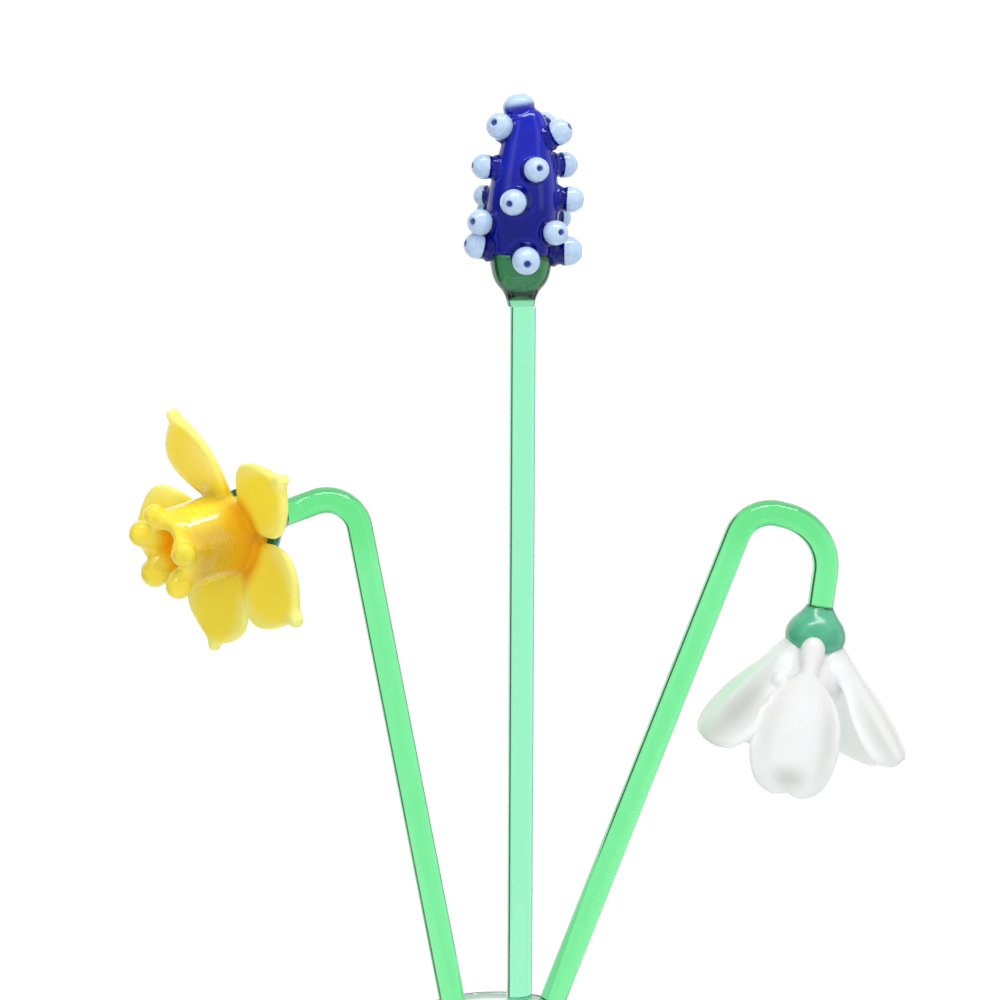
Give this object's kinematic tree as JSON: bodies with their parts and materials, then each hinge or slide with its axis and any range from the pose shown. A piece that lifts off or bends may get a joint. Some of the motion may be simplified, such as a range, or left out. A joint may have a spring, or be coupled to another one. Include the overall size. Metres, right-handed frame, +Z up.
{
  "type": "glass flowers in vase",
  "caption": "Flame-worked glass daffodil, grape hyacinth and snowdrop on long green glass rods, standing together in a small clear glass vase.",
  "frame": {"origin": "centre of the flat underside of the vase", "axes": "+Z up; +X to the right as the picture shows the flowers, from the daffodil towards the snowdrop; +Y away from the viewer"},
  "size_m": [0.1549, 0.0633, 0.2696],
  "materials": {
    "clear_glass": "clear, smooth",
    "green_rod": "clear green, smooth",
    "mint_rod": "clear mint green, smooth",
    "teal_glass": "deep teal green, smooth",
    "yellow_glass": "opal yellow, glossy",
    "emerald_glass": "clear emerald, smooth",
    "blue_glass": "opaque cobalt, glossy; the florets' caps are light blue",
    "sea_green_glass": "opaque sea green, glossy",
    "white_glass": "opal white, glossy"
  },
  "bodies": {
    "root": {"vase": "clear_glass", "daffodil_stem": "green_rod", "daffodil_calyx": "teal_glass", "daffodil_bloom": "yellow_glass", "hyacinth_stem": "mint_rod", "hyacinth_base": "emerald_glass", "hyacinth_spike": "blue_glass", "snowdrop_stem": "green_rod", "snowdrop_ovary": "sea_green_glass", "snowdrop_bloom": "white_glass"}
  },
  "joints": []
}
